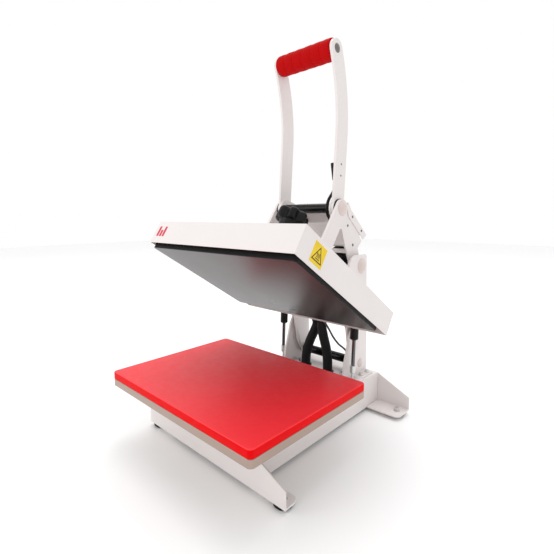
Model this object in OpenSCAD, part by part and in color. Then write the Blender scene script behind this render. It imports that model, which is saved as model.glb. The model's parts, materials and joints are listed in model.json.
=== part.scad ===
// Clamshell heat press with a toggle handle, two gas springs and a flat work platen.
// Everything is drawn about the centre of the work surface, with X to the right, Y to
// the back and Z up, and seat() then stands the press on the ground plane at its middle.
// The rest position is open: swung() lifts what hangs on the main hinge.

/* [Platens] */
// Width of the silicone pad and of the lower platen
pad_w = 390; // [380:1:400]
// Depth of the silicone pad and of the lower platen
pad_d = 286; // [280:1:292]
// Thickness of the silicone pad
pad_t = 14; // [12:0.5:16]
// Thickness of the lower platen
plate_t = 13.5; // [12:0.5:16]
// Height of the work surface above the ground
work_h = 138; // [136:1:142]
// Width of the heated platen
heat_w = 380; // [370:1:381]
// Depth of the heated platen
heat_d = 279; // [270:1:281]

/* [Cover] */
// Width of the cover over the heated platen
cover_w = 385; // [384:1:388]
// Height of the cover's side walls
cover_h = 48; // [46:1:50]
// Thickness of the cover sheet
sheet = 1.5; // [1.2:0.1:2]

/* [Opening] */
// Angle between the open and the closed platen
open_angle = 33.1; // [33:0.1:33.2]
// Distance of the main hinge behind the work centre
hinge_y = 303; // [302:0.5:304]
// Depth of the main hinge below the work surface
hinge_drop = 35.5; // [35:0.5:36]

/* [Base] */
// Width of the base box
base_w = 226; // [220:1:230]
// Length of the feet bars
foot_bar_w = 380; // [370:1:384]
// Diameter of a rubber foot
foot_d = 31; // [28:1:34]

/* [Handle] */
// Width of the handle's flat bars
arm_w = 36; // [34:1:37]
// Diameter of the foam grip
grip_d = 43; // [38:1:46]
// Diameter of the black cross tubes
tube_d = 20; // [18:1:20]

/* [Hidden] */
$fn = 64;

// Pivots as [y, z], open
hinge = [hinge_y, -hinge_drop];
toggle = [302, 188];
knee = [224, 314];
strut_foot = [250, -38];

// Pivots as [y, z], closed
link_eye = [40, 78];
strut_eye = [191, 50];

// Planes across the press, as distances from its middle
arm_x = 70;
arm_t = 6;
channel_x = 66;
channel_t = 4;
link_x = 79.6;
link_t = 6;
tower_x = 82;
tower_t = 5;
carriage_x = 72.3;
carriage_t = 5;
strut_x = 101;

// Heights below and above the work surface
base_top = -62;
base_floor = -131;
foot_h = work_h + base_floor;
cover_z = 7.4;
cover_front = -150;
cover_back = 177.5;
cover_top = cover_z + cover_h;
front_bar_y = -70;
rear_bar_y = 344;
foot_x = 172;
front_foot_y = -55;
rear_foot_y = 320;
bar_t = 3;
inlet_lip = 2.5;
inlet_at = [-20, -94];
switch_x = -16;
mid_y = (rear_bar_y + inlet_lip - pad_d / 2) / 2;

// Handle
arm_straight = 142.6;
arm_bend_r = 400;
grip_axis = knee + arm_straight * dir(86) + arm_bend_r * (dir(176) + dir(20));
bushing_gap = 0.05;
pivot_r = 8;
tube_r = tube_d / 2;

buffer_x = 35;
buffer_r = 16;
buffer_reach = 44;
buffer_lean = 12;

// Pressure screw
screw_y = 8;
screw_r = 8;
knob_z = 154;
knob_r = 35;
guide_x = 46;
guide_r = 6;

// Gas springs
rod_r = 4;
cylinder_r = 9;
strut_open = swing(strut_eye) - strut_foot;
strut_len = norm(strut_open);
strut_tilt = -atan2(strut_open[0], strut_open[1]);

// Release lever, bent in the side view
latch_x = 60;
latch_rod_r = 3.2;
latch_route = [[230, 281], [215, 292], [205, 310], [210, 330], [229, 352], [231, 371]];

// Control panel on the cover, as [x, y]
panel_at = [115, -112];
panel_size = [112, 52];
button_x = [88, 115, 142];
button_y = -128;
button_r = 6;

// Hoses from the base to the back of the cover, and the earth wire, as [x, y, z]
hose_d = 22;
hose_sides = 10;
hose_apart = 12;
left_hose = [[-41, 266, -61.5], [-39.5, 267, -32], [-33, 270, -4], [-22, 274, 24],
    [-14, 274, 45], [-12, 266, 61], [-12, 254, 74.5], [-12, 237, 87.3]];
right_hose = [[26, 263, -61.5], [26, 262, -32], [23, 260, -4], [17, 257, 24],
    [12.5, 256, 47], [12, 257.5, 62], [12, 251.2, 78], [12, 237, 87.3]];
wire_d = 4.4;
earth_wire = [[56, 297, -24.5], [55, 293, -12], [51, 287, -4], [43, 281, 4], [34, 273, 20],
    [28, 262, 42], [26, 246, 63], [26, 229.4, 75.4]];

// Unit vector at an angle in the side view, from the +Y direction towards +Z
function dir(a) = [cos(a), sin(a)];

// Side-view point carried from the closed to the open position
function swing(p) = let (d = p - hinge) hinge
    + [d[0] * cos(open_angle) + d[1] * sin(open_angle),
       d[1] * cos(open_angle) - d[0] * sin(open_angle)];

// Point at fraction t between q and r on a smooth curve through p, q, r and s
function curve(p, q, r, s, t) = 0.5 * (2 * q + (r - p) * t
    + (2 * p - 5 * q + 4 * r - s) * t * t + (3 * q - p - 3 * r + s) * t * t * t);

// Route with one extra point halfway along each stretch
function smoothed(route) = let (last = len(route) - 1) [
    for (i = [0:last - 1])
        for (t = [0, 0.5])
            curve(route[max(i - 1, 0)], route[i], route[i + 1],
                route[min(i + 2, last)], t),
    route[last]
];

function unit(v) = v / norm(v);

// Direction of a route at its point i
function heading(route, i) =
    unit(route[min(i + 1, len(route) - 1)] - route[max(i - 1, 0)]);

// Sides of a swept tube, all around its route
function tube_faces(rings, sides) = [
    [for (k = [0:sides - 1]) k],
    [for (k = [0:sides - 1]) rings * sides - 1 - k],
    for (i = [0:rings - 2])
        for (k = [0:sides - 1])
            [i * sides + k, (i + 1) * sides + k,
             (i + 1) * sides + (k + 1) % sides, i * sides + (k + 1) % sides]
];

module seat() {
    translate([0, -mid_y, work_h]) children();
}

module swung() {
    translate([0, hinge[0], hinge[1]])
        rotate([-open_angle, 0, 0])
            translate([0, -hinge[0], -hinge[1]])
                children();
}

// Mirrored pair, left and right
module pair() {
    children();
    mirror([1, 0, 0]) children();
}

// Outline in the side view, extruded to the right from x
module slab(x, thick) {
    translate([x, 0, 0])
        rotate([90, 0, 90])
            linear_extrude(thick)
                children();
}

// Round rod across the press at a side-view point
module cross_rod(p, r, x0, x1) {
    translate([x0, p[0], p[1]])
        rotate([0, 90, 0])
            cylinder(r = r, h = x1 - x0);
}

// Flat bar outline with round ends
module bar_outline(p, q, r) {
    translate(p) circle(r);
    translate(q) circle(r);
    translate((p + q) / 2)
        rotate(atan2(q[1] - p[1], q[0] - p[0]))
            square([norm(q - p), 2 * r - 0.1], center = true);
}

// Domed cap on a flat plate, pointing right from x
module dome_cap(p, r, x, h) {
    ball_r = (r * r + h * h) / (2 * h);
    translate([x, p[0], p[1]])
        rotate([0, 90, 0])
            intersection() {
                translate([0, 0, h - ball_r]) sphere(ball_r, $fn = 96);
                cylinder(r = r - 0.05, h = h + 1);
            }
}

// Hexagon-headed bolt standing on a surface
module hex_bolt(r, h) {
    cylinder(r = 1.7 * r, h = 1.4);
    cylinder(r = 1.5 * r, h = h, $fn = 6);
}

// Block with round vertical corners
module round_block(w, d, h, r) {
    translate([-w / 2, r - d / 2, 0]) cube([w, d - 2 * r, h]);
    translate([r - w / 2, -d / 2, 0]) cube([w - 2 * r, d, h]);
    for (x = [r - w / 2, w / 2 - r])
        for (y = [r - d / 2, d / 2 - r])
            translate([x, y, 0]) cylinder(r = r, h = h);
}

// Round tube swept along a route
module swept(route, d, sides) {
    path = smoothed(route);
    across = [1, 0, 0];
    points = [
        for (i = [0:len(path) - 1])
            let (along = heading(path, i), up = unit(cross(along, across)),
                side = cross(up, along))
                for (k = [0:sides - 1])
                    path[i] + d / 2 * (cos(360 * k / sides) * side
                        + sin(360 * k / sides) * up)
    ];
    polyhedron(points, tube_faces(len(path), sides));
}

// ---- Base ----

module base_box() {
    wall = 2.5;
    length = rear_bar_y - bar_t - front_bar_y - bar_t;
    color("white") seat()
        translate([0, front_bar_y + bar_t + length / 2, base_floor])
            difference() {
                translate([-base_w / 2, -length / 2, 0])
                    cube([base_w, length, base_top - base_floor]);
                translate([wall - base_w / 2, -length / 2 - 1, -1])
                    cube([base_w - 2 * wall, length + 2, base_top - base_floor - wall + 1]);
                for (p = [left_hose[0], right_hose[0]])
                    translate([p[0], p[1] - front_bar_y - bar_t - length / 2, 50])
                        cylinder(r = 12, h = 40);
            }
}

module base_cover() {
    gap = 3;
    color("gainsboro") seat()
        translate([0, 0, base_floor])
            difference() {
                translate([-base_w / 2 + gap, front_bar_y + bar_t + gap, 0])
                    cube([base_w - 2 * gap,
                        rear_bar_y - front_bar_y - 2 * bar_t - 2 * gap, 1.5]);
                for (y = [40:14:166])
                    translate([-60, y, -1]) cube([120, 5, 4]);
            }
}

// Upright plate of a foot bar, with sloping ends
module foot_bar_plate(y) {
    half = foot_bar_w / 2;
    shoulder = base_w / 2;
    end_h = 30;
    translate([0, y + bar_t, 0])
        rotate([90, 0, 0])
            linear_extrude(bar_t)
                polygon([[-half, base_floor], [half, base_floor],
                    [half, base_floor + end_h], [shoulder, base_top - 2],
                    [-shoulder, base_top - 2], [-half, base_floor + end_h]]);
}

// Flat toe under each end of a foot bar, from the plate to depth d, with a bolt hole
module foot_bar_toes(y, d, hole_y) {
    inner = base_w / 2 + 0.5;
    outer = foot_bar_w / 2;
    round_r = 12;
    far = y + d;
    side = sign(d);
    pair()
        translate([0, 0, base_floor])
            difference() {
                union() {
                    translate([inner, min(y, far - side * round_r), 0])
                        cube([outer - inner, abs(d) - round_r, bar_t]);
                    translate([inner, min(y, far), 0])
                        cube([outer - inner - round_r, abs(d), bar_t]);
                    translate([outer - round_r, far - side * round_r, 0])
                        cylinder(r = round_r, h = bar_t);
                }
                translate([foot_x, hole_y, -1]) cylinder(r = 4.2, h = bar_t + 2);
            }
}

module front_foot_bar() {
    color("white") seat() {
        foot_bar_plate(front_bar_y);
        foot_bar_toes(front_bar_y, 32, front_foot_y);
    }
}

module rear_foot_bar() {
    color("white") seat() {
        difference() {
            foot_bar_plate(rear_bar_y - bar_t);
            translate([inlet_at[0] - 29, rear_bar_y - 10, inlet_at[1] - 13])
                cube([58, 20, 26]);
        }
        foot_bar_toes(rear_bar_y, -52, rear_foot_y);
    }
}

module at_feet() {
    for (y = [front_foot_y, rear_foot_y])
        for (x = [-foot_x, foot_x])
            translate([x, y, base_floor]) children();
}

module rubber_feet() {
    color("black") seat() at_feet()
        translate([0, 0, -foot_h]) {
            cylinder(r1 = foot_d / 2 - 3, r2 = foot_d / 2 - 1, h = 3, $fn = 48);
            translate([0, 0, 3]) cylinder(r = foot_d / 2, h = foot_h - 3);
        }
}

module foot_bolts() {
    color("silver") seat() at_feet()
        translate([0, 0, bar_t]) hex_bolt(4, 7);
}

module lower_platen() {
    color("silver") seat()
        translate([0, 0, -pad_t - plate_t])
            round_block(pad_w, pad_d, plate_t, 8);
}

module silicone_pad() {
    color("red") seat()
        translate([0, 0, -pad_t])
            round_block(pad_w, pad_d, pad_t, 8);
}

module platen_posts() {
    top = -pad_t - plate_t;
    color("dimgray") seat()
        for (x = [-85, 85])
            for (y = [-50, 110])
                translate([x, y, base_top]) {
                    cylinder(r = 13, h = top - base_top);
                    cylinder(r = 19, h = 5);
                }
}

// Side plate of a tower, in the side view
module tower_outline() {
    polygon([[235, base_top], [239, -28], [258, 36], [268, 52], [268, 140],
        [253, 176], [251, 196], [262, 208], [275, 213], [318, 213], [323, 208],
        [333, base_top]]);
}

module tower() {
    difference() {
        union() {
            slab(tower_x, tower_t) tower_outline();
            translate([57, 240, base_top]) cube([55, 36, 4]);
            translate([tower_x, 270, base_top]) cube([24, 58, 4]);
        }
        cross_rod(hinge, pivot_r, tower_x - 1, tower_x + tower_t + 1);
        cross_rod(toggle, pivot_r, tower_x - 1, tower_x + tower_t + 1);
    }
}

module tower_left() {
    color("white") seat() mirror([1, 0, 0]) tower();
}

module tower_right() {
    color("white") seat() tower();
}

module tower_bolts() {
    color("silver") seat() pair() {
        for (p = [[63, 266], [75, 265], [97, 267], [98, 290], [98, 316]])
            translate([p[0], p[1], base_top + 4]) hex_bolt(3.4, 5);
    }
}

// Black tube between the towers, on the shoulders of its own bolt
module tower_tube(p) {
    cross_rod(p, tube_r, -tower_x, tower_x);
    pair() cross_rod(p, pivot_r, tower_x - 2, tower_x + tower_t);
}

module hinge_tube() {
    color("black") seat() {
        tower_tube(hinge);
        pair() cross_rod(hinge, 12, carriage_x - 12, carriage_x - 0.5);
    }
}

module toggle_tube() {
    color("black") seat() tower_tube(toggle);
}

module tower_caps() {
    face = tower_x + tower_t + 0.05;
    color("whitesmoke") seat() pair() {
        dome_cap(hinge, 10.5, face, 4.5);
        dome_cap(toggle, 17.5, face, 7.5);
    }
}

module strut_lower_studs() {
    plate_z = base_top + 4;
    color("silver") seat() pair()
        translate([strut_x, strut_foot[0], 0]) {
            translate([0, 0, plate_z]) cylinder(r = 7, h = 5);
            translate([0, 0, plate_z + 4])
                cylinder(r = 2.4, h = strut_foot[1] - plate_z - 7);
            translate([0, 0, strut_foot[1]]) sphere(4.5);
        }
}

// Rubber buffer on the toggle tube, which the lip of the open channel's stop leans on
module handle_stop() {
    color("black") seat() {
        difference() {
            cross_rod(toggle, 15, buffer_x - 15, buffer_x + 15);
            cross_rod(toggle, tube_r, buffer_x - 17, buffer_x + 17);
        }
        translate([buffer_x, toggle[0], toggle[1]])
            rotate([buffer_lean, 0, 0]) {
                translate([0, 0, 12]) cylinder(r = buffer_r, h = buffer_reach - 15.2);
                translate([0, 0, buffer_reach - 3.2])
                    cylinder(r1 = buffer_r, r2 = buffer_r - 9, h = 2.4);
            }
    }
}

// Flanged ring gland on the base around each hose
module base_glands() {
    color("black") seat()
        for (p = [left_hose[0], right_hose[0]])
            translate([p[0], p[1], base_top])
                difference() {
                    cylinder(r = 14, h = 2.5);
                    translate([0, 0, -1]) cylinder(r = hose_d / 2 + 0.5, h = 12);
                }
}

// Mains socket and the frame of the switch, set in the rear plate as one moulding
module power_inlet() {
    color("black") seat()
        translate([inlet_at[0], rear_bar_y, inlet_at[1]])
            difference() {
                union() {
                    translate([-32, 0, -16]) cube([64, inlet_lip, 32]);
                    translate([-28.5, -24, -12.7]) cube([57, 24, 25.4]);
                }
                translate([switch_x - 10, -20, -12]) cube([20, 30, 24]);
                difference() {
                    translate([3, -18, -8.5]) cube([24, 30, 17]);
                    for (x = [8, 14, 20])
                        translate([x, -18, -3.5]) cube([2, 13, 7]);
                }
            }
}

// Power board on the base's underside plate
module control_board() {
    color("seagreen") seat()
        translate([-45, 210, base_floor + 1.5]) {
            for (x = [6, 84])
                for (y = [6, 74])
                    translate([x, y, 0]) cylinder(r = 3, h = 8);
            translate([0, 0, 8]) cube([90, 80, 1.6]);
            translate([10, 12, 9.6]) cube([26, 20, 16]);
            translate([50, 12, 9.6]) cube([24, 30, 22]);
            translate([18, 56, 9.6]) cylinder(r = 9, h = 20);
        }
}

module hose_left() {
    color("black") seat() swept(left_hose, hose_d, hose_sides);
}

module hose_right() {
    color("black") seat() swept(right_hose, hose_d, hose_sides);
}

module earth_wire_lead() {
    color("dimgray") seat() swept(earth_wire, wire_d, 8);
}

// ---- Carriage on the main hinge ----

// Side plate that carries the upper platen, closed, in the side view
module carriage_outline() {
    translate(hinge) circle(12);
    polygon([[296, -45.2], [262, -28], [224, 12], [196, 30], [181.5, 46], [181.5, 62],
        [24, 62], [10, 70], [-4, 70], [-4, 84], [14, 88], [28, 96], [54, 96],
        [196, 92], [228, 76], [286, -2], [312.5, -28.2]]);
}

module carriage_arm() {
    difference() {
        slab(carriage_x, carriage_t) carriage_outline();
        cross_rod(hinge, tube_r + bushing_gap, carriage_x - 1, carriage_x + carriage_t + 1);
    }
}

module carriage_arm_left() {
    color("white") seat() swung() mirror([1, 0, 0]) carriage_arm();
}

module carriage_arm_right() {
    color("white") seat() swung() carriage_arm();
}

// Cross plate between the two side plates, closed
module carriage_bridge() {
    color("white") seat() swung()
        difference() {
            union() {
                translate([-carriage_x, -14, 70]) cube([2 * carriage_x, 76, 8]);
                pair() translate([guide_x, screw_y, 66]) cylinder(r = 11, h = 20);
                pair() translate([carriage_x - 6, 150, 64]) cube([6, 26, 24]);
                translate([-carriage_x, 160, 66]) cube([2 * carriage_x, 6, 20]);
            }
            translate([0, screw_y, 60]) cylinder(r = 15 + bushing_gap, h = 40);
            pair()
                translate([guide_x, screw_y, 60]) cylinder(r = guide_r + bushing_gap, h = 40);
        }
}

// Pins that the links turn on, standing out of the side plates
module link_pins() {
    eye = swing(link_eye);
    face = carriage_x + carriage_t;
    color("whitesmoke") seat() pair() {
        cross_rod(eye, 14, face, link_x - 0.4);
        cross_rod(eye, pivot_r, face + 1, link_x + link_t + 2);
        dome_cap(eye, 15, link_x + link_t + 0.4, 6);
    }
}

// Studs for the upper ends of the gas springs, clear of the ball joints they stand for
module strut_upper_studs() {
    eye = swing(strut_eye);
    face = carriage_x + carriage_t;
    color("silver") seat() pair() {
        cross_rod(eye, 5, face, 91.4);
        cross_rod(eye, 9, face, face + 3);
    }
}

module screw_nut() {
    color("goldenrod") seat() swung()
        translate([0, screw_y, 64.5])
            difference() {
                union() {
                    cylinder(r = 15, h = 28);
                    translate([0, 0, 13.5]) cylinder(r = 21, h = 5);
                }
                translate([0, 0, -1]) cylinder(r = screw_r + bushing_gap, h = 30);
            }
}

// ---- Upper platen, sliding on the carriage ----

module cover() {
    inner_w = cover_w - 2 * sheet;
    depth = cover_back - cover_front;
    color("white") seat() swung()
        difference() {
            translate([-cover_w / 2, cover_front, cover_z]) cube([cover_w, depth, cover_h]);
            translate([-inner_w / 2, cover_front + sheet, cover_z - 1])
                cube([inner_w, depth - 2 * sheet, cover_h - sheet + 1]);
            translate([-24.5, cover_back - 10, cover_z + 11]) cube([49, 20, 26]);
            translate([panel_at[0] - 46, panel_at[1] - 10, cover_top - 10])
                cube([92, 28, 20]);
            for (x = button_x)
                translate([x, button_y, cover_top - 10]) cylinder(r = 7, h = 20);
        }
}

module heat_platen() {
    color("dimgray") seat() swung()
        difference() {
            translate([0, 0, 0.5]) round_block(heat_w, heat_d, 22, 6);
            for (y = [-105, -35, 35, 105])
                translate([-160, y - 4.6, 15]) cube([320, 9.2, 10]);
        }
}

// Sheathed heating rods in the platen's grooves
module heating_element() {
    color("saddlebrown") seat() swung() {
        for (y = [-105, -35, 35, 105])
            translate([-150, y, 19.4]) rotate([0, 90, 0]) cylinder(r = 4.3, h = 300);
    }
}

module insulation() {
    color("beige") seat() swung()
        translate([0, 0, 24.5]) round_block(heat_w - 10, heat_d - 10, 10, 6);
}

// Mounting plate and two guide posts on the cover, with the seat of the pressure screw,
// and the stand-offs that carry the heated platen under it
module guide_posts() {
    color("gainsboro") seat() swung() {
        for (x = [-120, 120])
            for (y = [-75, 75])
                translate([x, y, 34.6]) cylinder(r = 6, h = cover_top - sheet - 34.7);
        translate([0, screw_y, cover_top])
            difference() {
                union() {
                    translate([-66, -20, 0]) cube([132, 40, 2.5]);
                    cylinder(r = 15, h = 4.5);
                    pair() translate([guide_x, 0, 0]) cylinder(r = guide_r, h = 40);
                }
                translate([0, 0, 0.6]) cylinder(r = screw_r + bushing_gap, h = 8);
            }
    }
}

module control_panel() {
    color("darkslategray") seat() swung()
        translate([panel_at[0], panel_at[1], cover_top])
            difference() {
                translate([-panel_size[0] / 2, -panel_size[1] / 2, 0])
                    cube([panel_size[0], panel_size[1], 2.5]);
                translate([-40, -5, -1]) cube([80, 22, 6]);
                for (x = button_x)
                    translate([x - panel_at[0], button_y - panel_at[1], -1])
                        cylinder(r = button_r + 0.4, h = 6);
            }
}

module display() {
    color("skyblue") seat() swung()
        translate([panel_at[0], panel_at[1], cover_top]) {
            translate([-39.5, -4.5, -4]) cube([79, 21, 6]);
            translate([-44, -8, -8]) cube([88, 26, 4]);
        }
}

module button(i) {
    color("lightgray") seat() swung()
        translate([button_x[i], button_y, cover_top - 5]) {
            cylinder(r = button_r, h = 9);
            cylinder(r = button_r + 0.8, h = 1.5);
        }
}

module button_set() {
    button(0);
}

module button_up() {
    button(1);
}

module button_down() {
    button(2);
}

// Plate with two short sleeves where the hoses enter the back of the cover
module cover_gland() {
    color("black") seat() swung()
        difference() {
            union() {
                translate([-32, cover_back, cover_z + 6]) cube([64, 2.5, 36]);
                pair()
                    translate([hose_apart, cover_back, cover_z + 24])
                        rotate([-90, 0, 0]) cylinder(r = 13, h = 8);
            }
            pair()
                translate([hose_apart, cover_back - 1, cover_z + 24])
                    rotate([-90, 0, 0]) cylinder(r = hose_d / 2 + 0.4, h = 12);
        }
}

// ---- Pressure knob ----

module pressure_knob() {
    lobes = 7;
    color("black") seat() swung()
        translate([0, screw_y, 0])
            difference() {
                union() {
                    translate([0, 0, 96]) cylinder(r = 22, h = knob_z - 96);
                    translate([0, 0, knob_z]) cylinder(r = 27, h = 25);
                    for (i = [0:lobes - 1])
                        rotate(i * 360 / lobes)
                            translate([knob_r - 9, 0, knob_z + 2]) cylinder(r = 9, h = 21);
                }
                translate([0, 0, 90]) cylinder(r = screw_r, h = 70);
            }
}

module pressure_screw() {
    color("silver") seat() swung()
        translate([0, screw_y, cover_top + 0.8])
            cylinder(r = screw_r, h = 160 - cover_top - 0.8);
}

// ---- Toggle channel and handle ----

// Side plate of the channel between the toggle tube and the knee, in the side view
module channel_outline() {
    translate(toggle) circle(22);
    translate(knee) circle(21);
    polygon([[206, 303], [222, 276], [246, 270], [260, 234], [276, 202], [284, 176],
        [322, 196], [311, 226], [326, 241], [266, 322], [236, 331.5]]);
}

// The two side plates, which turn on the toggle tube
module toggle_channel() {
    color("white") seat() pair()
        difference() {
            slab(channel_x, channel_t) channel_outline();
            cross_rod(toggle, tube_r + bushing_gap, channel_x - 1,
                channel_x + channel_t + 1);
            cross_rod(knee, pivot_r, channel_x - 1, channel_x + channel_t + 1);
        }
}

// Cross plate welded between the side plates, with a lip along its lower edge, and the
// curved stop strip over the buffer, drawn along the buffer's axis
module channel_web() {
    inner = buffer_reach + 0.4;
    lip = buffer_r + 0.4;
    color("white") seat() {
        slab(-channel_x, 2 * channel_x)
            polygon([[242, 283], [262.2, 235.2], [272, 236], [271.8, 238.4], [263.8, 237.8],
                [244.4, 283.8]]);
        slab(-channel_x, 2 * channel_x)
            translate(toggle)
                rotate(90 + buffer_lean) {
                    intersection() {
                        difference() {
                            circle(inner + 2.5);
                            circle(inner);
                        }
                        polygon([[0, 0], 2 * inner * dir(-22), 2 * inner * dir(8)]);
                    }
                    polygon([[33, lip], [33, lip + 2.5], [42.5, lip + 2.5], [42.5, lip]]);
                }
    }
}

// Bent sheet over the back of the channel, with a flange on each side
module rear_cover() {
    color("white") seat() {
        slab(-channel_x - channel_t - 1.8, 2 * (channel_x + channel_t + 1.8))
            polygon([[266, 326], [276.5, 310], [342.6, 253.4], [344, 255], [278, 311.8],
                [267.8, 327.2]]);
        pair()
            slab(channel_x + channel_t + 0.2, 1.6)
                polygon([[262, 318], [269, 297], [331, 245], [343.2, 254.2], [277.4, 311],
                    [267, 326.5]]);
    }
}

// Small screws of the rear cover, the channel and the handle's right bar
module handle_screws() {
    flange_x = channel_x + channel_t + 1.8;
    color("dimgray") seat() pair() {
        dome_cap([284, 296], 3, flange_x, 1.6);
        dome_cap([322, 264.5], 3, flange_x, 1.6);
        dome_cap([268.6, 277.4], 3, channel_x + channel_t, 1.6);
        dome_cap([290, 234.3], 3.4, channel_x + channel_t, 1.6);
        dome_cap([231, 403], 2.2, arm_x + arm_t, 1);
        dome_cap([230, 380], 2.2, arm_x + arm_t, 1);
        dome_cap(grip_axis, 9, arm_x + arm_t, 3);
    }
}

// Black tube across the knee, with the pin that ends inside the links
module cross_tube() {
    color("black") seat() {
        cross_rod(knee, tube_r, -channel_x, channel_x);
        pair() {
            cross_rod(knee, pivot_r, channel_x - 2, link_x - 0.4);
            cross_rod(knee, 19, arm_x + arm_t, link_x - 0.4);
        }
    }
}

// Handle bar outline: straight above the knee, then an arc that leans forward
module arm_outline() {
    bend_from = knee + arm_straight * dir(86);
    centre = bend_from + arm_bend_r * dir(176);
    far = 2 * arm_bend_r;
    translate(knee) circle(20);
    translate((knee + bend_from) / 2)
        rotate(86)
            square([arm_straight + 0.1, arm_w], center = true);
    translate(centre)
        intersection() {
            difference() {
                circle(arm_bend_r + arm_w / 2, $fn = 256);
                circle(arm_bend_r - arm_w / 2, $fn = 256);
            }
            polygon([[0, 0], far * dir(-4), far * dir(20)]);
        }
    translate(centre + arm_bend_r * dir(20)) circle(arm_w / 2);
}

module handle_arm() {
    difference() {
        slab(arm_x, arm_t) arm_outline();
        cross_rod(knee, pivot_r, arm_x - 1, arm_x + arm_t + 1);
        cross_rod(grip_axis, 5, arm_x - 1, arm_x + arm_t + 1);
    }
}

module handle_arm_left() {
    color("white") seat() mirror([1, 0, 0]) handle_arm();
}

module handle_arm_right() {
    color("white") seat() handle_arm();
}

module handle_bar() {
    color("silver") seat() {
        cross_rod(grip_axis, 10, -arm_x, arm_x);
        pair() cross_rod(grip_axis, 5, arm_x - 1, arm_x + arm_t);
    }
}

// Foam tube with shallow ring grooves
module handle_grip() {
    grooves = 6;
    pitch = 2 * arm_x / grooves;
    color("red") seat()
        difference() {
            cross_rod(grip_axis, grip_d / 2, 0.4 - arm_x, arm_x - 0.4);
            cross_rod(grip_axis, 10, -arm_x, arm_x);
            for (i = [1:grooves - 1])
                translate([i * pitch - arm_x, grip_axis[0], grip_axis[1]])
                    rotate([0, 90, 0])
                        rotate_extrude()
                            translate([grip_d / 2 + 0.6, 0]) circle(1.8, $fn = 24);
        }
}

// ---- Links, gas springs, latch and switch ----

module link() {
    eye = swing(link_eye);
    difference() {
        slab(link_x, link_t) bar_outline(eye, knee, arm_w / 2);
        cross_rod(eye, pivot_r + bushing_gap, link_x - 1, link_x + link_t + 1);
    }
    dome_cap(knee, 16.5, link_x + link_t, 7);
}

module link_left() {
    color("white") seat() mirror([1, 0, 0]) link();
}

module link_right() {
    color("white") seat() link();
}

// Gas spring parts are drawn along +Z from the lower ball joint
module on_strut(x) {
    translate([x, strut_foot[0], strut_foot[1]])
        rotate([strut_tilt, 0, 0])
            children();
}

module strut_rod(x) {
    color("silver") seat() on_strut(x) {
        difference() {
            translate([0, 0, -1]) cylinder(r = 6.5, h = 15);
            sphere(4.5 + bushing_gap);
            translate([0, 0, -5]) cylinder(r = 3, h = 6);
        }
        translate([0, 0, 14]) cylinder(r = rod_r, h = 74);
        translate([0, 0, 80]) cylinder(r = 6.9, h = 6);
    }
}

module strut_rod_left() {
    strut_rod(-strut_x);
}

module strut_rod_right() {
    strut_rod(strut_x);
}

module strut_cylinder(x) {
    foot = 72;
    head = strut_len - 9;
    color("black") seat() on_strut(x) {
        difference() {
            union() {
                cylinder_body(foot, head);
                translate([0, 0, head - 1]) cylinder(r = 6.5, h = 16);
            }
            translate([0, 0, foot - 1]) cylinder(r = rod_r + bushing_gap, h = 9);
            translate([0, 0, foot + 7]) cylinder(r = 7, h = head - foot - 10);
        }
        translate([0, 0, strut_len])
            rotate([0, x > 0 ? -90 : 90, 0])
                cylinder(r = 4, h = abs(x) - 91.8);
    }
}

// Turned cylinder with a chamfer at its lower end
module cylinder_body(foot, head) {
    rotate_extrude()
        polygon([[0, foot], [cylinder_r - 2, foot], [cylinder_r, foot + 2],
            [cylinder_r, head], [0, head]]);
}

module strut_cylinder_left() {
    strut_cylinder(-strut_x);
}

module strut_cylinder_right() {
    strut_cylinder(strut_x);
}

// Bent rod of the release lever, in straight stretches with round elbows
module latch_lever() {
    color("black") seat() {
        for (i = [0:len(latch_route) - 2])
            let (p = latch_route[i], q = latch_route[i + 1])
                translate([latch_x, p[0], p[1]])
                    rotate([-atan2(q[0] - p[0], q[1] - p[1]), 0, 0])
                        cylinder(r = latch_rod_r, h = norm(q - p));
        for (i = [1:len(latch_route) - 2])
            translate([latch_x, latch_route[i][0], latch_route[i][1]])
                sphere(latch_rod_r + 0.5);
        cross_rod(latch_route[0], 7, latch_x - 6, latch_x + 5);
        cross_rod(latch_route[0], 4, latch_x + 4, channel_x - 0.4);
    }
}

module latch_grip() {
    start = latch_route[len(latch_route) - 1];
    color("black") seat()
        translate([latch_x, start[0], start[1]])
            rotate([2, 0, 0]) {
                translate([0, 0, 0.6]) cylinder(r1 = 4.6, r2 = 8, h = 34, $fn = 48);
                translate([0, 0, 34.6]) cylinder(r = 8, h = 1.5, $fn = 48);
            }
}

// Rocker of the mains switch, in its off position
module power_switch() {
    color("red") seat()
        translate([inlet_at[0] + switch_x, rear_bar_y - 8, inlet_at[1]])
            rotate([-7, 0, 0])
                slab(-9.4, 18.8)
                    polygon([[-3, -6], [8.6, -10.4], [7.6, 0], [8.6, 10.4], [-3, 6]]);
}

base_box();
base_cover();
front_foot_bar();
rear_foot_bar();
rubber_feet();
foot_bolts();
lower_platen();
silicone_pad();
platen_posts();
tower_left();
tower_right();
tower_bolts();
hinge_tube();
toggle_tube();
tower_caps();
strut_lower_studs();
handle_stop();
base_glands();
power_inlet();
control_board();
hose_left();
hose_right();
earth_wire_lead();
carriage_arm_left();
carriage_arm_right();
carriage_bridge();
link_pins();
strut_upper_studs();
screw_nut();
cover();
heat_platen();
heating_element();
insulation();
guide_posts();
control_panel();
display();
button_set();
button_up();
button_down();
cover_gland();
pressure_knob();
pressure_screw();
toggle_channel();
channel_web();
rear_cover();
handle_screws();
cross_tube();
handle_arm_left();
handle_arm_right();
handle_bar();
handle_grip();
link_left();
link_right();
strut_rod_left();
strut_rod_right();
strut_cylinder_left();
strut_cylinder_right();
latch_lever();
latch_grip();
power_switch();
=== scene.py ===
"""Looks of a clamshell heat press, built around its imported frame."""

import json
import math

import bmesh
import bpy
from mathutils import Matrix, Vector, noise

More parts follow.
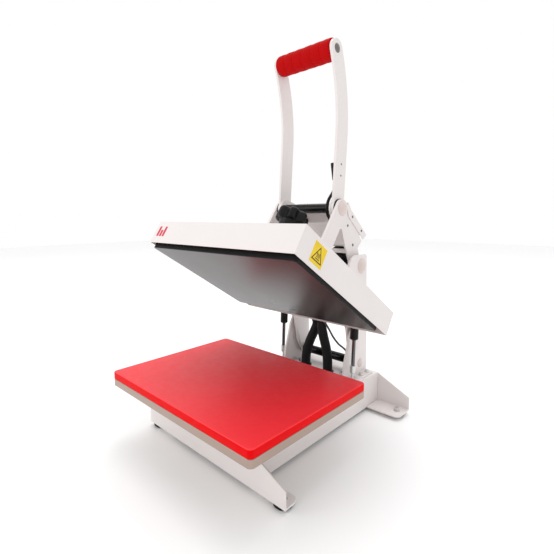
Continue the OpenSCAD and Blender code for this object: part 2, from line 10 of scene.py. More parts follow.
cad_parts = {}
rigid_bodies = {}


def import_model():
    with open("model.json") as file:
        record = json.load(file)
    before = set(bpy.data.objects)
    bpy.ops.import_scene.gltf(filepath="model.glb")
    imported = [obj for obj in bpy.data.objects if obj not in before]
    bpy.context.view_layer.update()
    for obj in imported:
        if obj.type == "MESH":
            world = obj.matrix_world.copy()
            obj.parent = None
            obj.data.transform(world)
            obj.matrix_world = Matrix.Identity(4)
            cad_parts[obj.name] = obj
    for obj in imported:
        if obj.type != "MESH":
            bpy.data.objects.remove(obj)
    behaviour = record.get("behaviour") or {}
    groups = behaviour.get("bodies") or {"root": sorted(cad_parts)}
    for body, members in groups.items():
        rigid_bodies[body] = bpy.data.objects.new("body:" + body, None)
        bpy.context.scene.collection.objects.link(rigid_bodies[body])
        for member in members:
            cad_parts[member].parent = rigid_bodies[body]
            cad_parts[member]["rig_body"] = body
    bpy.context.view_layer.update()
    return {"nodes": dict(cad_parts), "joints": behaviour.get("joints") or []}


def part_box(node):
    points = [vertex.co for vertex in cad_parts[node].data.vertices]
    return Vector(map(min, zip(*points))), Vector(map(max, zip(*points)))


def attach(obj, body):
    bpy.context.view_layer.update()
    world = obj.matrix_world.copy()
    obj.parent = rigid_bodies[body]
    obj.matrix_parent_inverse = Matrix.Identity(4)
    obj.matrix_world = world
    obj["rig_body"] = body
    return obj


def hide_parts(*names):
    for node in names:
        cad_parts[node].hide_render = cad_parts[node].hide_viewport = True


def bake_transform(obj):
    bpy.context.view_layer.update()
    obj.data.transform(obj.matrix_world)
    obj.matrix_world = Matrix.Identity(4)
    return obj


MM = 0.001

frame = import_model()
nodes = frame["nodes"]
joints = {j["name"]: j for j in frame["joints"]}

# The work surface, from which the routes below are measured as in the CAD source
pad_low, pad_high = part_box("silicone_pad")
WORK = Vector(((pad_low.x + pad_high.x) / 2, (pad_low.y + pad_high.y) / 2, pad_high.z))
OPEN_ANGLE = math.radians(joints["press_fold"]["range_deg"][1])
HINGE = Vector(joints["press_fold"]["pos_m"])
SWUNG = (
    Matrix.Translation(HINGE)
    @ Matrix.Rotation(-OPEN_ANGLE, 4, "X")
    @ Matrix.Translation(-HINGE)
)


def at(x, y, z):
    """Millimetres from the centre of the work surface to a point in the row frame."""
    return WORK + Vector((x, y, z)) * MM


# ---- Materials ----
# Colours are linear. Bump distances and edge radii are in metres, and noise scales are per metre.

# Numbers of the Mix node's sockets when it mixes colours
MIX_FACTOR, MIX_A, MIX_B, MIX_RESULT = 0, 6, 7, 2
BLACK_GLOSS = 0.22  # specular level of black paint, plastic and rubber


class Graph:
    """Small helper that adds and joins shader nodes."""

    def __init__(self, name):
        self.material = bpy.data.materials.new(name)
        self.material.use_nodes = True
        self.tree = self.material.node_tree
        self.shader = self.tree.nodes["Principled BSDF"]
        self.place = self.tree.nodes.new("ShaderNodeTexCoord").outputs["Object"]

    def node(self, kind, inputs=None, **settings):
        made = self.tree.nodes.new(kind)
        for key, value in settings.items():
            setattr(made, key, value)
        for key, value in (inputs or {}).items():
            self.feed(made.inputs[key], value)
        return made

    def feed(self, socket, value):
        if isinstance(value, bpy.types.NodeSocket):
            self.tree.links.new(value, socket)
        else:
            socket.default_value = value

    def noise(self, scale, detail=4.0, rough=0.55, stretch=(1, 1, 1)):
        mapped = self.node("ShaderNodeMapping", {"Vector": self.place, "Scale": stretch})
        return self.node(
            "ShaderNodeTexNoise",
            {"Vector": mapped.outputs[0], "Scale": scale, "Detail": detail, "Roughness": rough},
        ).outputs["Fac"]

    def between(self, factor, low, high, start=0.3, stop=0.7):
        """Value that goes from low to high as factor goes from start to stop."""
        return self.node(
            "ShaderNodeMapRange",
            {"Value": factor, "From Min": start, "From Max": stop, "To Min": low, "To Max": high},
        ).outputs["Result"]

    def mix(self, factor, a, b):
        """Colour that goes from a to b as factor goes from 0 to 1."""
        made = self.node("ShaderNodeMix", data_type="RGBA")
        self.feed(made.inputs[MIX_FACTOR], factor)
        self.feed(made.inputs[MIX_A], a)
        self.feed(made.inputs[MIX_B], b)
        return made.outputs[MIX_RESULT]

    def math(self, operation, a, b):
        made = self.node("ShaderNodeMath", operation=operation)
        self.feed(made.inputs[0], a)
        self.feed(made.inputs[1], b)
        return made.outputs[0]

    def bump(self, height, distance, strength, after=None):
        inputs = {"Height": height, "Distance": distance, "Strength": strength}
        if after is not None:
            inputs["Normal"] = after
        return self.node("ShaderNodeBump", inputs).outputs["Normal"]

    def end(self, **inputs):
        """Sets the shader's own sockets and returns the material."""
        for key, value in inputs.items():
            self.feed(self.shader.inputs[key.replace("_", " ")], value)
        return self.material


def shade(color, factor):
    """Colour made darker or lighter by factor, as RGBA."""
    return tuple(min(1.0, c * factor) for c in color) + (1.0,)


def worn_edges(g, base, worn, radius=0.0008, amount=0.8):
    """Colour that turns to worn along sharp edges, broken up by noise."""
    bevel = g.node("ShaderNodeBevel", {"Radius": radius}, samples=4)
    normal = g.node("ShaderNodeNewGeometry").outputs["Normal"]
    spread = g.node(
        "ShaderNodeVectorMath", {0: bevel.outputs[0], 1: normal}, operation="DOT_PRODUCT"
    ).outputs["Value"]
    edge = g.between(spread, 1.0, 0.0, 0.9, 0.995)
    broken = g.math("MULTIPLY", edge, g.between(g.noise(160), 0.0, amount, 0.45, 0.6))
    return g.mix(broken, base, worn)


def powder_coat():
    """White coat with a faint cloud, fine dark specks and an orange-peel surface."""
    g = Graph("white_powder_coat")
    color = (0.78, 0.73, 0.715)
    tone = g.mix(g.between(g.noise(7), 0, 1), shade(color, 0.975), shade(color, 1.01))
    speck = g.between(g.noise(1400, 2), 0, 0.05, 0.62, 0.72)
    tone = g.mix(speck, tone, shade(color, 0.7))
    peel = g.noise(620, 3, 0.5)
    return g.end(
        Base_Color=tone,
        Roughness=g.between(g.noise(40), 0.36, 0.46),
        Normal=g.bump(peel, 0.00006, 0.5),
    )


def silicone(name, color, gloss):
    """Red silicone with paler scuffs and a slightly wavy surface."""
    g = Graph(name)
    cloud = g.mix(g.between(g.noise(11, 5), 0, 1), shade(color, 0.94), shade(color, 1.04))
    scuff = g.between(g.noise(38, 8, 0.75, (1, 4, 1)), 0, 0.5, 0.56, 0.74)
    tone = g.mix(scuff, cloud, (color[0], 0.05, 0.065, 1))
    grain = g.noise(900, 4, 0.6)
    swell = g.noise(35, 3)
    return g.end(
        Base_Color=tone,
        Roughness=g.between(g.noise(90, 5), 0.4, 0.52),
        Specular_IOR_Level=gloss,
        Normal=g.bump(swell, 0.0006, 0.25, g.bump(grain, 0.00008, 0.5)),
    )


def brushed(name, color, rough, stretch=(1, 60, 60), scale=40, bump=0.00002):
    """Metal with fine lines along the axes that have the smallest stretch."""
    g = Graph(name)
    lines = g.noise(scale, 6, 0.65, stretch)
    cloud = g.noise(14, 3)
    tone = g.mix(g.between(lines, 0, 1), shade(color, 0.86), shade(color, 1.06))
    tone = g.mix(g.between(cloud, 0, 0.25), tone, shade(color, 0.8))
    return g.end(
        Base_Color=tone,
        Metallic=1.0,
        Roughness=g.between(lines, rough - 0.06, rough + 0.12),
        Normal=g.bump(lines, bump, 0.6),
    )


def platen_coating():
    """Dark non-stick coating with a soft gloss."""
    g = Graph("platen_coating")
    dull, warm = (0.012, 0.005, 0.005, 1), (0.018, 0.008, 0.008, 1)
    tone = g.mix(g.between(g.noise(9, 4), 0, 1), dull, warm)
    return g.end(
        Base_Color=tone,
        Roughness=g.between(g.noise(6, 3), 0.27, 0.31),
        Specular_IOR_Level=0.45,
        Normal=g.bump(g.noise(700, 2), 0.00001, 0.2),
    )


def dark(name, color, rough, grain, depth, edge=None):
    """Black paint, plastic or rubber: a slight cloud in tone and gloss over a fine grain."""
    g = Graph(name)
    tone = g.mix(g.between(g.noise(45, 5), 0, 1), shade(color, 0.75), shade(color, 1.35))
    if edge:
        tone = worn_edges(g, tone, edge)
    return g.end(
        Base_Color=tone,
        Specular_IOR_Level=BLACK_GLOSS,
        Roughness=g.between(g.noise(120, 4), rough - 0.05, rough + 0.05),
        Normal=g.bump(g.noise(grain, 3), depth, 0.6),
    )


def grip_foam():
    """Matt red foam with small open cells."""
    g = Graph("grip_foam")
    color = (0.56, 0.001, 0.002)
    cells = g.node("ShaderNodeTexVoronoi", {"Vector": g.place, "Scale": 900.0}).outputs["Distance"]
    tone = g.mix(g.between(cells, 0, 0.35, 0.1, 0.9), shade(color, 0.8), shade(color, 1.1))
    tone = g.mix(g.between(g.noise(30, 4), 0, 0.3), tone, shade(color, 0.7))
    return g.end(
        Base_Color=tone,
        Roughness=0.72,
        Specular_IOR_Level=0.08,
        Normal=g.bump(g.noise(70, 4), 0.0005, 0.4, g.bump(cells, 0.00012, 0.6)),
    )


def braid():
    """Braided black sleeve, with two slanted sets of strands laid by the piece's UVs."""
    g = Graph("hose_sleeve")
    uv = g.node("ShaderNodeTexCoord").outputs["UV"]
    strands = []
    for slant in (1, -1):
        turned = g.node(
            "ShaderNodeMapping", {"Vector": uv, "Rotation": (0, 0, slant * math.radians(45))}
        )
        wave = g.node("ShaderNodeTexWave", {"Vector": turned.outputs[0], "Scale": 7.0})
        strands.append(wave.outputs["Fac"])
    weave = g.math("MAXIMUM", strands[0], strands[1])
    gap, strand = (0.002, 0.002, 0.002, 1), (0.009, 0.009, 0.01, 1)
    tone = g.mix(g.between(weave, 0, 1, 0.2, 1.0), gap, strand)
    return g.end(
        Base_Color=tone,
        Specular_IOR_Level=0.2,
        Roughness=g.between(g.noise(80), 0.42, 0.58),
        Normal=g.bump(weave, 0.0003, 0.5),
    )


def woven_mat():
    """Pale woven insulation, with strands along X and Y."""
    g = Graph("insulation_mat")
    strands = [
        g.node(
            "ShaderNodeTexWave", {"Vector": g.place, "Scale": 260.0}, bands_direction=axis
        ).outputs["Fac"]
        for axis in ("X", "Y")
    ]
    weave = g.math("MULTIPLY", strands[0], strands[1])
    tone = g.mix(weave, (0.6, 0.56, 0.46, 1), (0.85, 0.82, 0.74, 1))
    return g.end(Base_Color=tone, Roughness=0.9, Normal=g.bump(weave, 0.0004, 0.6))


def printed(name, color, rough, tone=0.06):
    """Printed film, glossy plastic or the domes' painted shade; tone is how much its colour varies.
    """
    g = Graph(name)
    cloud = g.mix(g.between(g.noise(60, 4), 0, 1), shade(color, 1 - tone), shade(color, 1 + tone))
    return g.end(
        Base_Color=cloud,
        Roughness=g.between(g.noise(150, 3), rough - 0.05, rough + 0.08),
        Normal=g.bump(g.noise(700, 2), 0.00002, 0.4),
    )


coat = powder_coat()
red_silicone = silicone("silicone", (1.0, 0.022, 0.034), 0.55)
# Deeper, purer red for the pad's side faces: painted shade, as the sides face away from the light
# that falls on the top
shaded_rim_silicone = silicone("silicone_rim_painted_shade", (0.78, 0.0, 0.002), 0.06)
platen_metal = brushed("platen_metal", (0.44, 0.34, 0.29), 0.36)
inner_steel = brushed("inner_steel", (0.55, 0.55, 0.56), 0.38)
zinc = brushed("zinc_steel", (0.68, 0.68, 0.68), 0.26, (1, 1, 12), 120)
# Darker pinkish tone for the domed caps and heads of white-coated parts: painted shade that brings
# out their domes
dome_painted_shade = printed("dome_painted_shade", (0.68, 0.58, 0.55), 0.18, 0.03)
rod_steel = brushed("polished_rod", (0.13, 0.12, 0.13), 0.16, (1, 1, 30), 60, 0.000004)
screw_steel = brushed("screw_steel", (0.2, 0.19, 0.19), 0.3, (1, 1, 12), 120)
brass = brushed("brass", (0.72, 0.52, 0.22), 0.3, (1, 1, 20), 80)
sheath = brushed("heater_sheath", (0.36, 0.29, 0.23), 0.42, (30, 1, 1), 60)
coating = platen_coating()
black_paint = dark("black_paint", (0.0025, 0.0025, 0.0027), 0.3, 500, 0.00004)
black_plastic = dark(
    "black_plastic", (0.004, 0.004, 0.0045), 0.36, 1100, 0.00006, edge=(0.05, 0.05, 0.055, 1)
)
black_rubber = dark("black_rubber", (0.004, 0.004, 0.0045), 0.6, 700, 0.00012)
wire_skin = dark("wire_skin", (0.07, 0.07, 0.075), 0.5, 500, 0.00004)
foam = grip_foam()
sleeve = braid()
mat = woven_mat()
board = printed("circuit_board", (0.02, 0.14, 0.06), 0.35, 0.15)
panel_film = printed("panel_film", (0.035, 0.045, 0.06), 0.38)
display_glass = printed("display_glass", (0.03, 0.07, 0.09), 0.12)
button_plastic = printed("button_plastic", (0.55, 0.56, 0.58), 0.42)
rocker_plastic = printed("rocker_plastic", (0.5, 0.012, 0.012), 0.25)
label_yellow = printed("label_yellow", (0.8, 0.56, 0.0), 0.5)
label_black = printed("label_black", (0.004, 0.004, 0.004), 0.5)
mark_red = printed("mark_red", (0.62, 0.012, 0.05), 0.4)


# ---- Mesh helpers ----


def new_object(name, mesh, material):
    """Object in the scene with this mesh, in one material."""
    piece = bpy.data.objects.new(name, mesh)
    bpy.context.scene.collection.objects.link(piece)
    mesh.materials.clear()
    mesh.materials.append(material)
    return piece


def settle(piece, *modifiers):
    """Applies modifiers, given as (kind, settings), and leaves a plain mesh."""
    for kind, settings in modifiers:
        made = piece.modifiers.new(kind.lower(), kind)
        for key, value in settings.items():
            setattr(made, key, value)
    bpy.context.view_layer.update()
    ready = piece.evaluated_get(bpy.context.evaluated_depsgraph_get())
    old, piece.data = piece.data, bpy.data.meshes.new_from_object(ready)
    piece.modifiers.clear()
    bpy.data.meshes.remove(old)
    return piece


def smooth(piece, angle):
    """Smooth shading, with edges sharper than angle in degrees left sharp."""
    piece.data.shade_smooth()
    piece.data.set_sharp_from_angle(angle=math.radians(angle))


def stands_for(piece, node):
    """Puts a piece in a CAD node's place, on the same body."""
    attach(piece, nodes[node]["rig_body"])
    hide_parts(node)
    return piece


SAME_POINT = 1e-6
FLAT_ANGLE = math.radians(0.6)
ROUNDED_ANGLE = math.radians(32)


def refine(node, material, bevel, segments=2):
    """Copy of a CAD node with its flat faces merged and its edges rounded, bevel in mm."""
    mesh = nodes[node].data.copy()
    bm = bmesh.new()
    bm.from_mesh(mesh)
    bmesh.ops.remove_doubles(bm, verts=bm.verts, dist=SAME_POINT)
    bmesh.ops.dissolve_limit(bm, angle_limit=FLAT_ANGLE, verts=bm.verts, edges=bm.edges)
    bm.to_mesh(mesh)
    bm.free()
    piece = new_object(node + "_finished", mesh, material)
    piece.data.shade_smooth()
    settings = {
        "width": bevel * MM,
        "segments": segments,
        "limit_method": "ANGLE",
        "angle_limit": ROUNDED_ANGLE,
        "harden_normals": True,
        "use_clamp_overlap": True,
    }
    settle(piece, ("BEVEL", settings), ("WEIGHTED_NORMAL", {"keep_sharp": True}))
    return stands_for(piece, node)


UV_PER_METRE = 100


def lofted(name, rings, material, sharp=40):
    """Mesh through rings of points, capped at both ends, with its UVs in centimetres."""
    bm = bmesh.new()
    rows = [[bm.verts.new(p) for p in ring] for ring in rings]
    layer = bm.loops.layers.uv.new("UVMap")
    sides = len(rings[0])
    around = sum((rings[0][k] - rings[0][k - 1]).length for k in range(sides))
    along = [0.0]
    for a, b in zip(rings, rings[1:]):
        along.append(along[-1] + (b[0] - a[0]).length)
    for i in range(len(rows) - 1):
        for k in range(sides):
            n = (k + 1) % sides
            face = bm.faces.new((rows[i][k], rows[i][n], rows[i + 1][n], rows[i + 1][k]))
            corners = ((k, i), (k + 1, i), (k + 1, i + 1), (k, i + 1))
            for loop, (u, v) in zip(face.loops, corners):
                loop[layer].uv = (u / sides * around * UV_PER_METRE, along[v] * UV_PER_METRE)
    bm.faces.new(reversed(rows[0]))
    bm.faces.new(rows[-1])
    bmesh.ops.recalc_face_normals(bm, faces=bm.faces)
    mesh = bpy.data.meshes.new(name)
    bm.to_mesh(mesh)
    bm.free()
    piece = new_object(name, mesh, material)
    smooth(piece, sharp)
    return piece


def curve_through(points, steps):
    """Catmull-Rom curve through points, with this many steps from each to the next."""
    ends = [points[0] * 2 - points[1]] + points + [points[-1] * 2 - points[-2]]
    route = []
    for i in range(1, len(ends) - 2):
        p, q, r, s = ends[i - 1 : i + 3]
        for k in range(steps):
            t = k / steps
            linear = (r - p) * t
            square = (2 * p - 5 * q + 4 * r - s) * t * t
            cubic = (3 * q - p - 3 * r + s) * t ** 3
            route.append(0.5 * (2 * q + linear + square + cubic))
    return route + [points[-1]]


def circle(sides):
    """Cosine and sine at each corner of a round outline."""
    angles = [2 * math.pi * k / sides for k in range(sides)]
    return [(math.cos(a), math.sin(a)) for a in angles]


def tube(name, points, radius, material, steps, sides):
    """Round tube of a radius in metres on a smooth curve through points."""
    route = curve_through(points, steps)
    rings = []
    last = len(route) - 1
    for i, p in enumerate(route):
        along = (route[min(i + 1, last)] - route[max(i - 1, 0)]).normalized()
        up = along.cross(Vector((1, 0, 0))).normalized()
        side = up.cross(along)
        rings.append([p + radius * (c * side + s * up) for c, s in circle(sides)])
    return lofted(name, rings, material)


def lathe(name, origin, axis, profile, material, sides=64):
    """Turned piece: profile is [(radius, height)] in metres along axis from origin."""
    turn = axis.to_track_quat("Z", "Y")
    rings = [
        [origin + turn @ Vector((r * c, r * s, h)) for c, s in circle(sides)]
        for r, h in profile
    ]
    return lofted(name, rings, material)


# ---- Plain CAD nodes with rounded edges ----

# Powder-coated nodes, with the radius of their edges in mm
COATED = {
    "base_box": 1.6,
    "front_foot_bar": 0.8,
    "rear_foot_bar": 0.8,
    "tower_left": 0.8,
    "tower_right": 0.8,
    "carriage_arm_left": 0.8,
    "carriage_arm_right": 0.8,
    "carriage_bridge": 0.8,
    "cover": 0.7,
    "toggle_channel": 0.7,
    "channel_web": 0.4,
    "rear_cover": 0.25,
    "handle_arm_left": 0.9,
    "handle_arm_right": 0.9,
    "link_left": 0.8,
    "link_right": 0.8,
}
finished = {}
for node, bevel in COATED.items():
    finished[node] = refine(node, coat, bevel)

# Other plain nodes: material, the record's slot and the radius of the edges in mm
OTHERS = {
    # The domed caps take the darker pinkish tone, which is painted shade
    "tower_caps": (dome_painted_shade, "white_powder_coat", 0.3),
    "link_pins": (dome_painted_shade, "white_powder_coat", 0.3),
    "base_cover": (inner_steel, "inner_steel", 0.3),
    "platen_posts": (inner_steel, "inner_steel", 0.6),
    "guide_posts": (inner_steel, "inner_steel", 0.5),
    "rubber_feet": (black_rubber, "black_rubber", 1.2),
    "handle_stop": (black_rubber, "black_rubber", 1.5),
    "foot_bolts": (zinc, "zinc_steel", 0.5),
    "tower_bolts": (zinc, "zinc_steel", 0.5),
    "strut_lower_studs": (zinc, "zinc_steel", 0.2),
    "strut_upper_studs": (zinc, "zinc_steel", 0.4),
    "handle_bar": (zinc, "zinc_steel", 0.4),
    "handle_screws": (screw_steel, "zinc_steel", 0.15),
    "pressure_screw": (zinc, "zinc_steel", 0.4),
    "hinge_tube": (black_paint, "black_paint", 0.6),
    "toggle_tube": (black_paint, "black_paint", 0.6),
    "cross_tube": (black_paint, "black_paint", 0.6),
    "strut_cylinder_left": (black_paint, "black_paint", 0.6),
    "strut_cylinder_right": (black_paint, "black_paint", 0.6),
    "base_glands": (black_plastic, "black_plastic", 0.7),
    "power_inlet": (black_plastic, "black_plastic", 0.5),
    "cover_gland": (black_plastic, "black_plastic", 0.6),
    "latch_grip": (black_plastic, "black_plastic", 1.4),
    "lower_platen": (platen_metal, "platen_metal", 0.8),
    "silicone_pad": (red_silicone, "silicone", 1.6),
    "heat_platen": (coating, "platen_coating", 1.2),
    "heating_element": (sheath, "heater_sheath", 0.3),
    "insulation": (mat, "insulation_mat", 0.8),
    "control_board": (board, "circuit_board", 0.2),
    "control_panel": (panel_film, "panel_film", 0.6),
    "display": (display_glass, "display_glass", 0.4),
    "button_set": (button_plastic, "button_plastic", 0.8),
    "button_up": (button_plastic, "button_plastic", 0.8),
    "button_down": (button_plastic, "button_plastic", 0.8),
    "screw_nut": (brass, "brass", 0.6),
    "power_switch": (rocker_plastic, "rocker_plastic", 0.5),
}
for node, (material, slot, bevel) in OTHERS.items():
    finished[node] = refine(node, material, bevel, 3)


def second_finish(piece, material, chosen):
    """Gives a piece's chosen faces another finish."""
    piece.data.materials.append(material)
    for face in piece.data.polygons:
        if chosen(face):
            face.material_index = 1


# The domed heads on the links take the darker pinkish dome tint, painted shade that sets them off
# from the white coat; the pad's side faces are a deeper red than its top, painted shade on the
# sides that face away from the light; and the heated platen's rim is matt black
DOME_HEIGHT = 7 * MM
FACE_GAP = 0.4 * MM
domes_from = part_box("link_right")[1].x - DOME_HEIGHT + FACE_GAP
for side in ("left", "right"):
    link = finished[f"link_{side}"]
    second_finish(link, dome_painted_shade, lambda face: abs(face.center.x) > domes_from)
platen_normal = Vector(joints["knob_turn"]["axis"])
# The pad's side faces take the deeper red, which is painted shade
second_finish(finished["silicone_pad"], shaded_rim_silicone, lambda face: abs(face.normal.z) < 0.5)
second_finish(
    finished["heat_platen"], black_rubber, lambda face: abs(face.normal.dot(platen_normal)) < 0.6
)


# ---- Gas spring rods: dark rod, silver end fitting ----

FITTING_END = 20 * MM
for side in ("left", "right"):
    foot = Vector(joints[f"strut_rod_{side}_turn"]["pos_m"])
    axis = Vector(joints[f"strut_cylinder_{side}_slide"]["axis"])
    rod = refine(f"strut_rod_{side}", rod_steel, 0.4, 3)
    second_finish(rod, zinc, lambda face: (face.center - foot).dot(axis) < FITTING_END)


# ---- Pressure knob: a star with rounded lobes on a round skirt ----

LOBES = 7
LOBE_POINTS = 24
HOLLOW_POWER = 1.6
KNOB_POINTS = LOBES * LOBE_POINTS
knob_foot = SWUNG @ at(0, 8, 96)
knob_turn = platen_normal.to_track_quat("Z", "Y")
across_knob = knob_turn.inverted() @ Vector((1, 0, 0))
first_lobe = math.atan2(across_knob.y, across_knob.x)
# Radius, height and depth of the hollows between the lobes, in mm from the skirt to the top
KNOB_PROFILE = [
    (12, 0, 0), (21, 0, 0), (22, 1, 0), (22, 54, 0), (24, 57, 0), (30, 57.5, 4),
    (33.6, 59.5, 7.5), (35, 63, 8.5), (35, 75, 8.5), (34.2, 78.5, 8.2), (32, 81.4, 7.4),
    (28.5, 82.6, 5.5), (24, 82.8, 2), (17, 82.2, 0), (15.6, 81, 0), (15.2, 80.3, 0), (2, 80.6, 0),
]


def star_ring(radius, height, depth):
    """Points of the knob at one height, with round lobes and tighter hollows."""
    ring = []
    for k in range(KNOB_POINTS):
        a = 2 * math.pi * k / KNOB_POINTS
        r = radius - depth * (0.5 - 0.5 * math.cos(LOBES * a)) ** HOLLOW_POWER
        a += first_lobe
        ring.append(knob_foot + knob_turn @ Vector((r * math.cos(a), r * math.sin(a), height)) * MM)
    return ring


knob = lofted("pressure_knob_star", [star_ring(*level) for level in KNOB_PROFILE], black_plastic)
stands_for(knob, "pressure_knob")


# ---- Foam grip: soft rings between shallow grooves ----

grip_low, grip_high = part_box("handle_grip")
grip_mid = (grip_low + grip_high) / 2
grip_len = grip_high.x - grip_low.x
grip_r = (grip_high.z - grip_low.z) / 2
GRIP_RINGS = 6
GRIP_STEPS = 150
GROOVE_DEPTH = 1.2 * MM
RING_SQUARENESS = 0.35
END_ROUND = 4 * MM
BAR_R = 10 * MM
BORE_GAP = 0.3 * MM
BORE_FLARE = 1.5 * MM
DENT_DEPTH = 0.3 * MM
DENTS_PER_METRE = 90

profile = [(BAR_R + BORE_GAP, END_ROUND), (BAR_R + BORE_FLARE, 0.0)]
for i in range(GRIP_STEPS + 1):
    t = i / GRIP_STEPS
    swell = abs(math.sin(math.pi * GRIP_RINGS * t)) ** RING_SQUARENESS
    inward = 1 - min(1.0, min(t, 1 - t) * grip_len / END_ROUND)
    rounding = END_ROUND * (1 - math.sqrt(1 - inward ** 2))
    profile.append((grip_r - GROOVE_DEPTH * (1 - swell) - rounding, t * grip_len))
profile += [(BAR_R + BORE_FLARE, grip_len), (BAR_R + BORE_GAP, grip_len - END_ROUND)]
grip = lathe(
    "foam_grip", Vector((grip_low.x, grip_mid.y, grip_mid.z)), Vector((1, 0, 0)), profile, foam
)
# The foam's outside is slightly dented
for v in grip.data.vertices:
    away = Vector((0, v.co.y - grip_mid.y, v.co.z - grip_mid.z))
    if away.length > grip_r * 0.8:
        v.co -= away.normalized() * DENT_DEPTH * (noise.noise(v.co * DENTS_PER_METRE) + 1)
stands_for(grip, "handle_grip")


# ---- Release lever: one bent rod with its pivot boss ----

LATCH_X = 60
LATCH_R = 3.2
BOSS_HALF = 6
LATCH = [(230, 281), (215, 292), (205, 310), (210, 330), (229, 352), (231, 372)]
BOSS_PROFILE = [(5.8, 0), (7, 1), (7, 10), (6, 11), (4, 11.2), (4, 15.4), (3.4, 15.6)]
CURVE_STEPS = 10
lever = tube(
    "latch_rod", [at(LATCH_X, y, z) for y, z in LATCH], LATCH_R * MM, black_paint, CURVE_STEPS, 20
)
boss = lathe(
    "latch_boss", at(LATCH_X - BOSS_HALF, *LATCH[0]), Vector((1, 0, 0)),
    [(r * MM, h * MM) for r, h in BOSS_PROFILE], black_paint,
)
stands_for(lever, "latch_lever")
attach(boss, "latch")


# ---- Hoses and earth wire ----

HOSE_D = 22
WIRE_D = 4.4
LEFT_HOSE = [(-41, 266, -61.5), (-39.5, 267, -32), (-33, 270, -4), (-22, 274, 24),
             (-14, 274, 45), (-12, 266, 61), (-12, 254, 74.5), (-12, 237, 87.3)]
RIGHT_HOSE = [(26, 263, -61.5), (26, 262, -32), (23, 260, -4), (17, 257, 24),
              (12.5, 256, 47), (12, 257.5, 62), (12, 251.2, 78), (12, 237, 87.3)]
EARTH_WIRE = [(56, 297, -24.5), (55, 293, -12), (51, 287, -4), (43, 281, 4),
              (34, 273, 20), (28, 262, 42), (26, 246, 63), (26, 229.4, 75.4)]
for name, route, d, material in (
    ("hose_left", LEFT_HOSE, HOSE_D, sleeve),
    ("hose_right", RIGHT_HOSE, HOSE_D, sleeve),
    ("earth_wire_lead", EARTH_WIRE, WIRE_D, wire_skin),
):
    piece = tube(name + "_bent", [at(*p) for p in route], d / 2 * MM, material, CURVE_STEPS, 32)
    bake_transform(piece)
    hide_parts(name)


# ---- Yellow label with a hot-surface sign, and a plain mark of three bars ----

SKIN_GAP = 0.02
FILM = 0.15
PRINT = 0.05
COVER_SIDE_X = 192.5
COVER_FRONT_Y = -150
swing = SWUNG.to_3x3()
label_at = SWUNG @ at(COVER_SIDE_X, -101.5, 31.4)
label_plane = (label_at, swing @ Vector((0, 1, 0)), swing @ Vector((0, 0, 1)))
mark_at = SWUNG @ at(-168, COVER_FRONT_Y, 33)
mark_plane = (mark_at, Vector((1, 0, 0)), swing @ Vector((0, 0, 1)))


def sticker(name, outline, plane, material, lift=SKIN_GAP, thick=FILM):
    """Thin plate on the cover from an outline in mm; plane is its centre, across and up."""
    origin, across, up = plane
    out = across.cross(up).normalized()
    base = [origin + (u * across + v * up) * MM + out * lift * MM for u, v in outline]
    piece = lofted(name, [base, [p + out * thick * MM for p in base]], material, 20)
    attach(piece, "upper_platen")


def on_label(name, outline):
    """Black print on the label."""
    sticker(name, outline, label_plane, label_black, SKIN_GAP + FILM, PRINT)


def bar(u, v, w, h):
    """Rectangle w wide and h high, centred on u, v."""
    left, right = u - w / 2, u + w / 2
    foot, top = v - h / 2, v + h / 2
    return [(left, foot), (right, foot), (right, top), (left, top)]


LABEL_SIDE = 33
sticker("warning_label", bar(0, 0, LABEL_SIDE, LABEL_SIDE), label_plane, label_yellow)

TRIANGLE = [Vector((-14, -11)), Vector((14, -11)), Vector((0, 13.5))]
INNER = 0.79  # size of the triangle's inner edge, as a share of the outer one
middle = Vector((0, sum(corner.y for corner in TRIANGLE) / 3))
for i, a in enumerate(TRIANGLE):
    b = TRIANGLE[(i + 1) % 3]
    inner_a, inner_b = middle + (a - middle) * INNER, middle + (b - middle) * INNER
    on_label(f"warning_edge_{i}", [a, b, inner_b, inner_a])
on_label("warning_plate", bar(0, -6.6, 11, 1.5))

WAVE_FOOT = -4.4
WAVE_STEP = 1.2
WAVE_WIDTH = 1.6
WAVE_SWING = 0.7
WAVE_TURN = 1.1
for i, u in enumerate((-3, 0.2, 3.4)):
    left = [
        (u - WAVE_WIDTH / 2 + WAVE_SWING * math.sin(k * WAVE_TURN), WAVE_FOOT + k * WAVE_STEP)
        for k in range(7)
    ]
    right = [(p + WAVE_WIDTH, q) for p, q in reversed(left)]
    on_label(f"warning_wave_{i}", left + right)

# Centre across, centre up, width and height of each bar
MARK_BARS = [(-10, 0, 7, 22), (0, -4, 7, 14), (10, 0, 7, 22)]
for i, place in enumerate(MARK_BARS):
    sticker(f"mark_bar_{i}", bar(*place), mark_plane, mark_red)


# ---- Floor, light and camera ----

FLOOR_HALF = 6.0


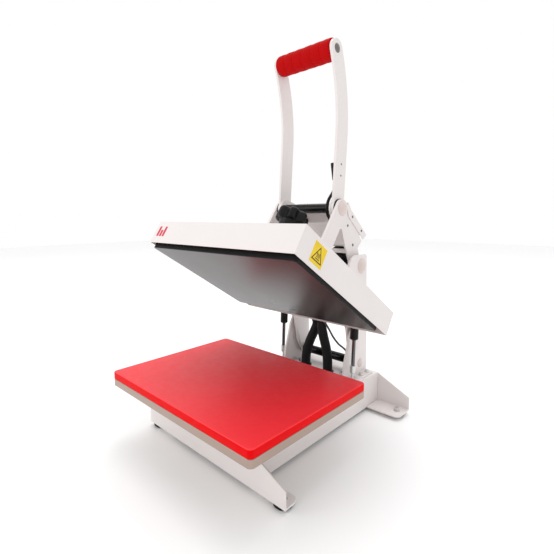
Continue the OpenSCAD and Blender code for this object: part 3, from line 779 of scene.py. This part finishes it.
def pale_floor():
    """Plain floor that the press stands on."""
    mesh = bpy.data.meshes.new("floor")
    corners = [
        (x * FLOOR_HALF, y * FLOOR_HALF, 0) for x, y in ((-1, -1), (1, -1), (1, 1), (-1, 1))
    ]
    mesh.from_pydata(corners, [], [(0, 1, 2, 3)])
    g = Graph("floor_paint")
    tone = g.mix(g.noise(2), (0.97, 0.97, 0.97, 1), (0.99, 0.99, 0.99, 1))
    return new_object("floor", mesh, g.end(Base_Color=tone, Roughness=0.5))


pale_floor()

# The backdrop behind the press is plain white, and the light that it gives is a little weaker
BACKDROP, SOFT_LIGHT = 1.0, 0.97
world = bpy.data.worlds.new("studio")
bpy.context.scene.world = world
world.use_nodes = True
sky = world.node_tree.nodes["Background"].inputs
sky["Color"].default_value = (1, 1, 1, 1)
seen = world.node_tree.nodes.new("ShaderNodeLightPath").outputs["Is Camera Ray"]
dimmer = world.node_tree.nodes.new("ShaderNodeMapRange")
dimmer.inputs["To Min"].default_value = SOFT_LIGHT
dimmer.inputs["To Max"].default_value = BACKDROP
world.node_tree.links.new(seen, dimmer.inputs["Value"])
world.node_tree.links.new(dimmer.outputs["Result"], sky["Strength"])

LIT_POINT = Vector((0, 0, 0.3))


def area_light(name, place, size, power):
    """Square lamp in metres and watts, aimed at the middle of the press."""
    data = bpy.data.lights.new(name, "AREA")
    data.size, data.energy = size, power
    lamp = bpy.data.objects.new(name, data)
    lamp.location = place
    lamp.rotation_euler = (LIT_POINT - Vector(place)).to_track_quat("-Z", "Y").to_euler()
    bpy.context.scene.collection.objects.link(lamp)


area_light("key_light", (-0.5, 0.9, 3.2), 2.4, 36)
area_light("front_light", (-1.6, -2.4, 1.4), 1.2, 14)
bpy.context.scene.view_settings.view_transform = "Standard"

AZIMUTH, ELEVATION, ROLL = math.radians(43.204), math.radians(7.2025), math.radians(-0.236)
level = math.cos(ELEVATION)
look = -Vector((level * math.sin(AZIMUTH), -level * math.cos(AZIMUTH), math.sin(ELEVATION)))
roll = Matrix.Rotation(ROLL, 3, "Z").to_quaternion()
camera_data = bpy.data.cameras.new("camera")
camera_data.sensor_width = 36
camera_data.lens = 25.7
camera_data.shift_x = 0.0046
camera_data.shift_y = -0.0206
camera = bpy.data.objects.new("camera", camera_data)
camera.rotation_mode = "QUATERNION"
camera.rotation_quaternion = look.to_track_quat("-Z", "Y") @ roll
camera.location = at(541.7, -465.5, 299.5)
bpy.context.scene.collection.objects.link(camera)
bpy.context.scene.camera = camera
